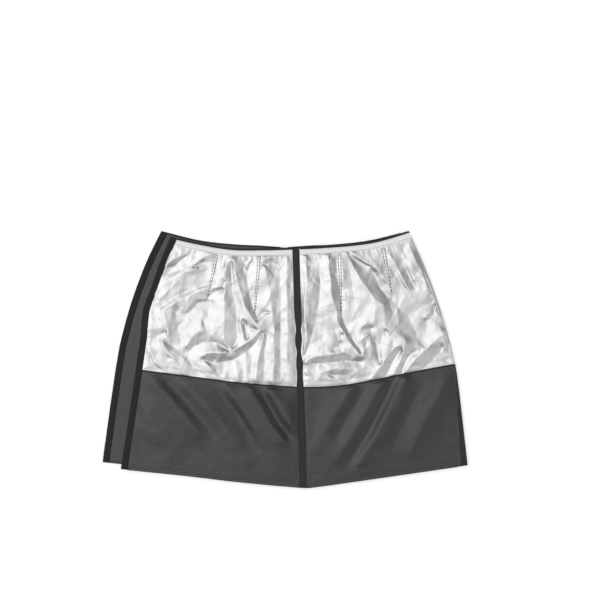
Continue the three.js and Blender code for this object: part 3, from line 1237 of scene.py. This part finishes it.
@dataclass
class Cloth:
    """One cut of cloth, spread over its outline with its creases.

    Margins are how far from each side the cloth is sewn or held, and creases rise from its base.
    """

    name: str
    plan: Plan
    layer: Layer
    rise: float
    thick: float
    creases: tuple
    margins: tuple
    step: float
    lumps: float
    crinkles: float
    highest: float
    seed: float
    gathers: float = 0.0
    crease_count: int = 420
    crease_share: float = 1.0
    crease_sunk: float = 0.0
    softness: int = 1
    turn: FoldedSide | None = None
    flat: np.ndarray | None = None
    cover: Plan | None = None
    points: np.ndarray | None = None
    tree: KDTree | None = None

    def spread(self) -> None:
        """Works out where each point of the cloth lies."""
        columns = int(self.plan.width / self.step) + 1
        rows = int(self.plan.height / self.step) + 1
        u, v = np.meshgrid(np.linspace(0, 1, columns), np.linspace(0, 1, rows), indexing="ij")
        place = self.plan.place(u.ravel(), v.ravel()).reshape(columns, rows, 2)
        left, right, low, high = self.margins
        wide, tall = self.plan.width, self.plan.height
        sides = [u * wide - left, (1 - u) * wide - right, (1 - v) * tall - high]
        depth = np.minimum.reduce([*sides, v * tall - low])
        base = np.full((columns, rows), self.rise)
        if self.cover is not None:
            above = place[..., 1] - np.interp(place[..., 0], self.cover.low[:, 0], self.cover.low[:, 1])
            base = hollow_rise(self.layer, np.minimum(above, depth))
            depth = np.minimum(depth, -above)
        held = depth <= 0
        lines = tuple(
            tuple((x, y, rise * self.crease_share - self.crease_sunk / MM) for x, y, rise in line)
            for line in self.creases
        )
        height = settle(place, base, held, lines, self.softness)
        free = smooth(depth / FREE_REACH)
        height = height + free * self.lumps * lumps_in(place, LUMP_SIZE, self.seed)
        height = height + free * self.crinkles * creases_in(place, self.crease_count, int(self.seed))
        height = height + self._puckers(u * wide, v * tall, depth)
        if self.cover is None:
            sewn = np.minimum.reduce([*sides, v * tall])
            height = np.maximum(height, hollow_rise(self.layer, sewn) + LINING_CLEAR)
        else:
            height = base + (height - base) * smooth(depth / FOLD_START)
        height = self._under_ceiling(height)
        self.points = np.concatenate([place, self.layer.z(height)[..., None]], axis=-1)
        self.flat = np.stack([u * wide, v * tall], axis=-1)
        if self.turn is not None:
            self.points = self.turn.carry(self.points, height[-1])
            step = np.arange(1, self.turn.steps + 1)[:, None, None]
            extra = self.flat[-1] + step * np.array([TURN_STEP, 0])
            self.flat = np.concatenate([self.flat, extra])
        self.tree = KDTree(columns * rows)
        for index, point in enumerate(self.points[:columns].reshape(-1, 3)):
            self.tree.insert((point[0], point[1], 0.0), index)
        self.tree.balance()

    def _under_ceiling(self, height: np.ndarray) -> np.ndarray:
        """Presses what stands too high gently down under the highest place allowed.

        Args:
            height: Heights in the layer.

        Returns:
            The same heights, with none over the highest.
        """
        knee = KNEE_SHARE * self.highest
        room = self.highest - knee
        return np.where(height > knee, knee + room * (1 - np.exp(-(height - knee) / room)), height)

    def _puckers(self, across: np.ndarray, up: np.ndarray, depth: np.ndarray) -> np.ndarray:
        """Draws the cloth up in little gathers beside its sewn edges.

        Args:
            across: Lengths from the left side.
            up: Lengths from the low side.
            depth: How far each point is from what holds it.

        Returns:
            The gathers' heights.
        """
        length = np.where(self._beside_high(up), across, up)
        waves = np.array([noise.noise(Vector((x / GATHER_WIDTH, self.seed, 2.0))) for x in length.ravel()])
        fade = smooth(depth / GATHER_START) * np.exp(-np.maximum(depth, 0) / GATHER_DEPTH)
        return self.gathers * fade * (0.4 + waves.reshape(length.shape))

    def _beside_high(self, up: np.ndarray) -> np.ndarray:
        """Says which points are gathered by the band along the high side."""
        return self.plan.height - up < self.margins[3] + BAND_GATHERS

    def height_at(self, places: np.ndarray) -> np.ndarray:
        """Gives the cloth's height over points in plan.

        Args:
            places: One point a row.

        Returns:
            Heights in the row frame.
        """
        flat = self.points.reshape(-1, 3)
        found = [self.tree.find_n((x, y, 0.0), 4) for x, y in places]
        return np.array([np.mean([flat[index][2] for _, index, _ in near]) for near in found])

    def build(self) -> bpy.types.Object:
        """Makes the cloth's mesh.

        Returns:
            The new piece.
        """
        self.spread()
        return make_cloth(self.name, self.points, self.flat, self.thick, self.layer is BACK)

    @property
    def cut(self) -> dict:
        """The flat cut of the cloth.

        Returns:
            Its enclosing width and length, and its area, each with a little for the creases.
        """
        loop = np.concatenate([self.plan.low, self.plan.right, self.plan.high[::-1], self.plan.left[::-1]])
        x, y = loop.T
        area = 0.5 * abs(np.sum(x * np.roll(y, -1) - y * np.roll(x, -1)))
        size = loop.max(axis=0) - loop.min(axis=0)
        return {"flat": (float(size[0]) * 1.01, float(size[1]) * 1.01), "area": float(area) * 1.01}


# ---------------------------------------------------------------------------------------------
# Panels
# ---------------------------------------------------------------------------------------------


class Side(Enum):
    """The side of a panel that is sewn to its neighbour in the same layer."""

    LEFT = "left"
    RIGHT = "right"


@dataclass
class Panel:
    """One quarter of the skirt: its shell, lining and trims.

    The panel beside the fold takes in the margin beyond its hinge, so that each cloth is one piece.
    """

    name: str
    layer: Layer
    bend: Bend
    lining_creases: tuple
    shell_folds: tuple
    seam_side: Side
    margin: str = ""
    step: float = 3.1 * MM
    rise_share: float = 1.0
    seed: float = 3.0

    def nodes(self, part: str) -> list:
        """Gives the CAD nodes of one part of the panel, with the margin's where it has one."""
        names = [f"{self.name}_{part}", f"{self.margin}_{part}"]
        return [name for name in names if name in frame["nodes"]]

    def plan(self, part: str) -> Plan:
        """Gives the outline of one part of the panel.

        Args:
            part: The part's name, as in its CAD nodes.

        Returns:
            The outline, with the margin's joined on where the panel has one.
        """
        nodes = self.nodes(part)
        plan = Plan.of_node(nodes[0])
        return plan.joined_to(Plan.of_node(nodes[1])) if len(nodes) == 2 else plan

    @property
    def turn(self) -> FoldedSide | None:
        """The turn round the folded side, on the panel that reaches it."""
        return FoldedSide() if self.margin else None

    def _margins(self) -> tuple:
        """Says how far the cloth is held at its left and right sides.

        Returns:
            The two lengths.
        """
        other = CLOSURE_WIDTH if self.seam_side is Side.RIGHT and self.layer is FRONT else 4 * MM
        return (other, SEAM_HALF) if self.seam_side is Side.RIGHT else (SEAM_HALF, other)

    def build(self, wardrobe: Wardrobe) -> None:
        """Makes and dresses every piece of the panel.

        Args:
            wardrobe: The finishes.
        """
        lining = self._lining()
        shell = self._shell(lining.plan)
        black_trim = (GROSGRAIN, BLACK_THREAD)
        # The darts' dark grey stitches are thread and also painted shade along the pleats' edges.
        tuck_with_painted_shade = (SILVER, DARK_THREAD_AND_PAINTED_SHADE)
        designs = (
            (lining, "lining", "silver_cloth", (SILVER,)),
            (shell, "shell", "black_cloth", (BLACK_NYLON,)),
            (self._lining_edge(), "lining_binding", "black_binding", black_trim),
            (self._waist_edge(), "waist_binding", "black_binding", black_trim),
            (self._hook_strip(), "hook_band", "white_hook_band", (HOOK_TAPE, GREY_THREAD)),
            (self._hem(), "hem", "black_binding", (BLACK_NYLON, BLACK_THREAD)),
            (self._dart(1, lining), "dart_1", "silver_cloth", tuck_with_painted_shade),
            (self._dart(2, lining), "dart_2", "silver_cloth", tuck_with_painted_shade),
        )
        made = {
            part: fit(design.build(), slot, finish, self.nodes(part), self.bend, wardrobe)
            for design, part, slot, finish in designs
        }

    def _lining(self) -> Cloth:
        """The silver lining of the panel."""
        return Cloth(
            name=f"{self.name}_lining_cloth",
            plan=self.plan("lining"),
            layer=self.layer,
            rise=self.layer.lining,
            thick=0.25 * MM,
            creases=self.lining_creases,
            margins=(*self._margins(), 3 * MM, BAND_DEPTH),
            step=self.step,
            lumps=1.6 * MM * self.rise_share,
            crinkles=2.6 * MM * self.rise_share,
            gathers=1.3 * MM * self.rise_share,
            highest=self.layer.lining_top,
            seed=self.seed,
            crease_share=self.rise_share,
            crease_sunk=self.layer.sunk,
            turn=self.turn,
        )

    def _shell(self, cover: Plan) -> Cloth:
        """The black shell of the panel, hollow under the lining."""
        return Cloth(
            name=f"{self.name}_shell_cloth",
            plan=self.plan("shell"),
            layer=self.layer,
            rise=self.layer.shell,
            thick=0.4 * MM,
            creases=self.shell_folds,
            margins=(*self._margins(), 10 * MM, BAND_DEPTH),
            step=self.step * 1.25,
            lumps=1.0 * MM * self.rise_share,
            crinkles=0.15 * MM * self.rise_share,
            highest=self.layer.shell_top,
            seed=self.seed + 20,
            gathers=0.8 * MM * self.rise_share,
            crease_share=self.rise_share * 2.6,
            softness=14,
            turn=self.turn,
            cover=cover,
        )

    def _lining_edge(self) -> Strip:
        """The narrow binding along the lining's lower edge."""
        low = self.layer.trim
        return Strip(
            name=f"{self.name}_lining_edge",
            plan=self.plan("lining_binding"),
            layer=self.layer,
            way=Way.ACROSS,
            section=flat_section(low - 0.6 * MM, 1.5 * MM),
            rows=(0.75,),
            row_height=low + 0.85 * MM,
            wander=0.7 * MM,
            seed=self.seed,
            turn=self.turn,
        )

    def _waist_edge(self) -> Strip:
        """The binding folded over the waist."""
        layer = self.layer
        return Strip(
            name=f"{self.name}_waist_edge",
            plan=self.plan("waist_binding"),
            layer=layer,
            way=Way.ACROSS,
            section=wrapped_section(layer.trim, TRIM_THICK, layer.lip, 0.22),
            edge=Edge.HIGH,
            rows=(0.2,),
            row_height=layer.trim + TRIM_THICK,
            seed=self.seed + 1,
            turn=self.turn,
        )

    def _hook_strip(self) -> Strip:
        """The white hook tape sewn below the waist."""
        low = self.layer.trim
        return Strip(
            name=f"{self.name}_hook_strip",
            plan=self.plan("hook_band"),
            layer=self.layer,
            way=Way.ACROSS,
            section=flat_section(low, TRIM_THICK),
            rows=(0.1, 0.86),
            row_height=low + TRIM_THICK,
            seed=self.seed + 2,
            turn=self.turn,
        )

    def _hem(self) -> Strip:
        """The hem folded under the skirt's lower edge."""
        layer = self.layer
        return Strip(
            name=f"{self.name}_hem_edge",
            plan=self.plan("hem"),
            layer=layer,
            way=Way.ACROSS,
            section=wrapped_section(layer.shell + 0.15 * MM, 0.5 * MM, layer.lip + 0.2 * MM, 0.12),
            edge=Edge.LOW,
            rows=(0.12,),
            row_height=layer.shell + 0.7 * MM,
            seed=self.seed + 3,
        )

    def _dart(self, number: int, lining: Cloth) -> Strip:
        """One of the two darts that shape the waist, sewn down on the lining."""
        return Strip(
            name=f"{self.name}_dart_{number}_tuck",
            plan=self.plan(f"dart_{number}"),
            layer=self.layer,
            way=Way.UPRIGHT,
            section=flat_section(-0.9 * MM, 1.9 * MM),
            # Rows along both edges in long wide dark grey stitches: the stitching, and painted shade along
            # the pleat's edges.
            rows=(0.02, 0.98),
            row_height=self.layer.stitch,
            seed=self.seed + 4 + number,
            ground=lining,
            wander=1.8 * MM,
            pitch=12 * MM,
            stitch=(9.5 * MM, 2.1 * MM),
        )


# ---------------------------------------------------------------------------------------------
# Tapes
# ---------------------------------------------------------------------------------------------


# Where a seam tape is drawn narrow, or spread, by the gathers of the lining beside it.
SEAM_PUCKERS = (
    (0.565, 0.03, 0.4),
    (0.47, 0.03, 0.2),
    (0.66, 0.03, 0.25),
    (0.74, 0.04, -0.12),
    (0.2, 0.1, -0.08),
)


@dataclass
class Tapes:
    """The seam tapes, the two closure tapes and the tape round the folded side.

    The side tape shows on the front over a share of its CAD width. Its turn is a share of a half
    circle, and above the front tape it is drawn back over a share of that turn.
    """

    front_bend: Bend
    back_bend: Bend
    root: Bend
    side_show: float = 0.62
    side_points: int = 18
    side_row: float = 6 * MM
    side_width: float = 30 * MM
    side_thick: float = 0.8 * MM
    side_turn: float = 0.8
    side_drawn: float = 0.7
    side_draw_reach: float = 50 * MM

    def build(self, wardrobe: Wardrobe) -> None:
        """Makes and dresses the tapes.

        Args:
            wardrobe: The finishes.
        """
        self._seam("front", FRONT, self.front_bend, wardrobe)
        self._seam("back", BACK, self.back_bend, wardrobe)
        self._closure("front", FRONT, FRONT.trim, TRIM_THICK, self.front_bend, wardrobe)
        self._closure("back", BACK, BACK.shell - 0.45 * MM, -TRIM_THICK, self.back_bend, wardrobe)
        self._side(wardrobe)

    def _seam(self, side: str, layer: Layer, bend: Bend, wardrobe: Wardrobe) -> None:
        """Makes the tape over the seam of one layer, from both halves' outlines.

        Args:
            side: The layer's name.
            layer: The layer.
            bend: What the tape moves with.
            wardrobe: The finishes.
        """
        halves = [f"{side}_seam_tape_left", f"{side}_seam_tape_right"]
        plan = Plan.of_node(halves[0]).joined_to(Plan.of_node(halves[1]))
        strip = Strip(
            name=f"{side}_seam_ribbon",
            plan=plan,
            layer=layer,
            way=Way.UPRIGHT,
            section=flat_section(layer.trim, TRIM_THICK),
            rows=(0.08, 0.92),
            row_height=layer.trim + TRIM_THICK,
            wander=2.2 * MM,
            seed=31.0,
            pucker=SEAM_PUCKERS,
        )
        fit(strip.build(), "seam_tape", (SEAM_RIBBON, BLACK_THREAD), halves, bend, wardrobe)

    def _closure(
        self, side: str, layer: Layer, low: float, thick: float, bend: Bend, wardrobe: Wardrobe
    ) -> None:
        """Makes the tape along the open edge of one layer.

        Args:
            side: The layer's name.
            layer: The layer.
            low: Height of the tape's sewn face in the layer.
            thick: Its thickness, less than 0 where it lies behind the cloth.
            bend: What the tape moves with.
            wardrobe: The finishes.
        """
        node = f"{side}_closure_tape"
        strip = Strip(
            name=f"{side}_closure_pile",
            plan=Plan.of_node(node),
            layer=layer,
            way=Way.UPRIGHT,
            section=flat_section(low, thick),
            rows=(0.1, 0.9),
            row_height=low + thick,
            wander=0.8 * MM,
            seed=41.0,
        )
        fit(strip.build(), "closure_tape", (LOOP_PILE, BLACK_THREAD), [node], bend, wardrobe)

    def _side(self, wardrobe: Wardrobe) -> None:
        """Makes the tape that turns round the folded side.

        Args:
            wardrobe: The finishes.
        """
        nodes = ["side_seam_tape_front", "side_seam_tape_back"]
        front, back = (Plan.of_node(node) for node in nodes)
        share = np.linspace(0, 1, int(back.height / self.side_row))
        fold, inner = along(back.right, share), along(back.left, share)
        top = front.left[:, 1].max()
        reach = self.side_show * (fold[:, 0] - np.interp(fold[:, 1], front.left[:, 1], front.left[:, 0]))
        rise = FRONT.trim + TRIM_THICK
        high, low = FRONT.z(rise), BACK.z(rise - (FRONT.shell - BACK.shell))
        middle, radius = (high + low) / 2, (high - low) / 2
        turn_length = math.pi * radius * self.side_turn
        drawn_back = turn_length * self.side_drawn * smooth((fold[:, 1] - top) / self.side_draw_reach)
        begin = np.where(fold[:, 1] < top, -reach, drawn_back)
        end = turn_length + (fold[:, 0] - inner[:, 0])
        points = []
        for part in np.linspace(0, 1, self.side_points):
            run = begin + (end - begin) * part
            angle = np.clip(run / turn_length, 0, 1) * math.pi
            under = np.maximum(run - turn_length, 0)
            x = fold[:, 0] + np.minimum(run, 0) - under + FoldedSide().bulge * radius * np.sin(angle)
            y = fold[:, 1] + (inner[:, 1] - fold[:, 1]) * under / (fold[:, 0] - inner[:, 0])
            points.append(np.column_stack([x, y, middle + radius * np.cos(angle)]))
        across = np.linspace(0, self.side_width, self.side_points)
        flat = np.stack(np.meshgrid(across, share * back.height, indexing="ij"), axis=-1)
        piece = make_cloth("side_seam_ribbon", np.array(points), flat, self.side_thick, False)
        fit(piece, "seam_tape", (SEAM_RIBBON,), nodes, self.root, wardrobe)


# ---------------------------------------------------------------------------------------------
# Studio
# ---------------------------------------------------------------------------------------------


@dataclass(frozen=True)
class Glow:
    """A round glow in the sky.

    Each stop is the cosine of the angle from its middle, and the brightness there, outermost first.
    """

    towards: tuple
    stops: tuple

    def make(self, tree: bpy.types.NodeTree, way: bpy.types.NodeSocket) -> bpy.types.NodeSocket:
        """Makes the glow's nodes.

        Args:
            tree: The world's node tree.
            way: The direction looked in.

        Returns:
            The glow's colour.
        """
        middle = tuple(Vector(self.towards).normalized())
        facing = add_node(tree, "ShaderNodeVectorMath", {0: way, 1: middle}, operation="DOT_PRODUCT")
        ramp = add_node(tree, "ShaderNodeValToRGB", {"Fac": facing.outputs["Value"]})
        ramp.color_ramp.interpolation = "LINEAR"
        while len(ramp.color_ramp.elements) < len(self.stops):
            ramp.color_ramp.elements.new(0.5)
        for element, (place, level) in zip(ramp.color_ramp.elements, self.stops):
            element.position = place
            element.color = (level, level, level, 1.0)
        return ramp.outputs["Color"]


# A broad soft light overhead, and a weaker one across from it.
KEY_GLOW = Glow(
    towards=(-0.38, 0.16, 0.91),
    stops=((0.0, 0.66), (0.36, 0.33), (0.64, 0.52), (0.80, 0.86), (0.91, 1.14), (1.0, 1.6)),
)
FILL_GLOW = Glow(
    towards=(0.60, -0.34, 0.72),
    stops=((0.0, 0.0), (0.78, 0.0), (0.92, 0.12), (0.985, 0.34), (1.0, 0.36)),
)


@dataclass
class Studio:
    """A pale floor, a soft overhead sky and a camera straight above."""

    floor_size: float = 80.0
    camera_place: tuple = (0.068, 0.194, 4.0)
    lens: float = 67.67
    sensor: float = 36.0

    def build(self) -> None:
        """Makes the floor, the light and the camera."""
        self._floor()
        self._sky()
        self._camera()
        bpy.context.scene.view_settings.view_transform = "Standard"

    def _floor(self) -> None:
        """Makes a plain pale floor that shows soft shadows."""
        shape = bmesh.new()
        bmesh.ops.create_grid(shape, x_segments=1, y_segments=1, size=self.floor_size / 2)
        floor = finish_mesh("floor", shape)
        material, tree, output = blank_material("matt_white_floor")
        shader = add_node(
            tree,
            "ShaderNodeBsdfPrincipled",
            {
                "Base Color": linear("#f4f4f4"),
                "Roughness": 1.0,
                "Specular IOR Level": 0.0,
                "Emission Color": (1.0, 1.0, 1.0, 1.0),
                "Emission Strength": 0.35,
            },
        )
        tree.links.new(shader.outputs["BSDF"], output.inputs["Surface"])
        floor.data.materials.append(material)

    def _sky(self) -> None:
        """Makes a large soft light overhead that falls off towards the horizon."""
        world = bpy.data.worlds.new("soft_studio")
        bpy.context.scene.world = world
        world.use_nodes = True
        tree = world.node_tree
        tree.nodes.clear()
        way = add_node(tree, "ShaderNodeTexCoord").outputs["Generated"]
        key, fill = (glow.make(tree, way) for glow in (KEY_GLOW, FILL_GLOW))
        both = add_node(tree, "ShaderNodeVectorMath", {0: key, 1: fill}, operation="ADD")
        light = add_node(tree, "ShaderNodeBackground", {"Color": both.outputs["Vector"], "Strength": 1.0})
        output = tree.nodes.new("ShaderNodeOutputWorld")
        tree.links.new(light.outputs["Background"], output.inputs["Surface"])

    def _camera(self) -> None:
        """Makes the camera and gives it to the scene."""
        data = bpy.data.cameras.new("camera")
        data.lens, data.sensor_width = self.lens, self.sensor
        camera = bpy.data.objects.new("camera", data)
        camera.location = self.camera_place
        bpy.context.scene.collection.objects.link(camera)
        bpy.context.scene.camera = camera


def main() -> None:
    """Builds the studio, the four panels and the tapes, and reports each piece."""
    logging.basicConfig(level=logging.INFO, format="%(name)s: %(message)s")
    Studio().build()
    wardrobe = Wardrobe()
    root = Bend("back_right")
    side = bend_at("side_fold", "back_right", "front_right", 60 * MM)
    front = bend_at("front_seam", "front_right", "front_left", 40 * MM)
    back = bend_at("back_seam", "back_right", "back_left", 40 * MM)
    left = {
        "seam_side": Side.RIGHT,
        "lining_creases": LEFT_LINING_CREASES,
        "shell_folds": LEFT_SKIRT_FOLDS,
    }
    right = {
        "seam_side": Side.LEFT,
        "lining_creases": RIGHT_LINING_CREASES,
        "shell_folds": RIGHT_SKIRT_FOLDS,
    }
    pressed = {"step": 5 * MM, "rise_share": 0.26}
    panels = [
        Panel("front_left", FRONT, front, seed=3.0, **left),
        Panel("front_right", FRONT, side, margin="side_fold", seed=7.0, **right),
        Panel("back_left", BACK, back, seed=11.0, **left, **pressed),
        Panel("back_right", BACK, root, seed=15.0, **right, **pressed),
    ]
    for panel in panels:
        panel.build(wardrobe)
    Tapes(front, back, root).build(wardrobe)


if __name__ == "__main__":
    main()
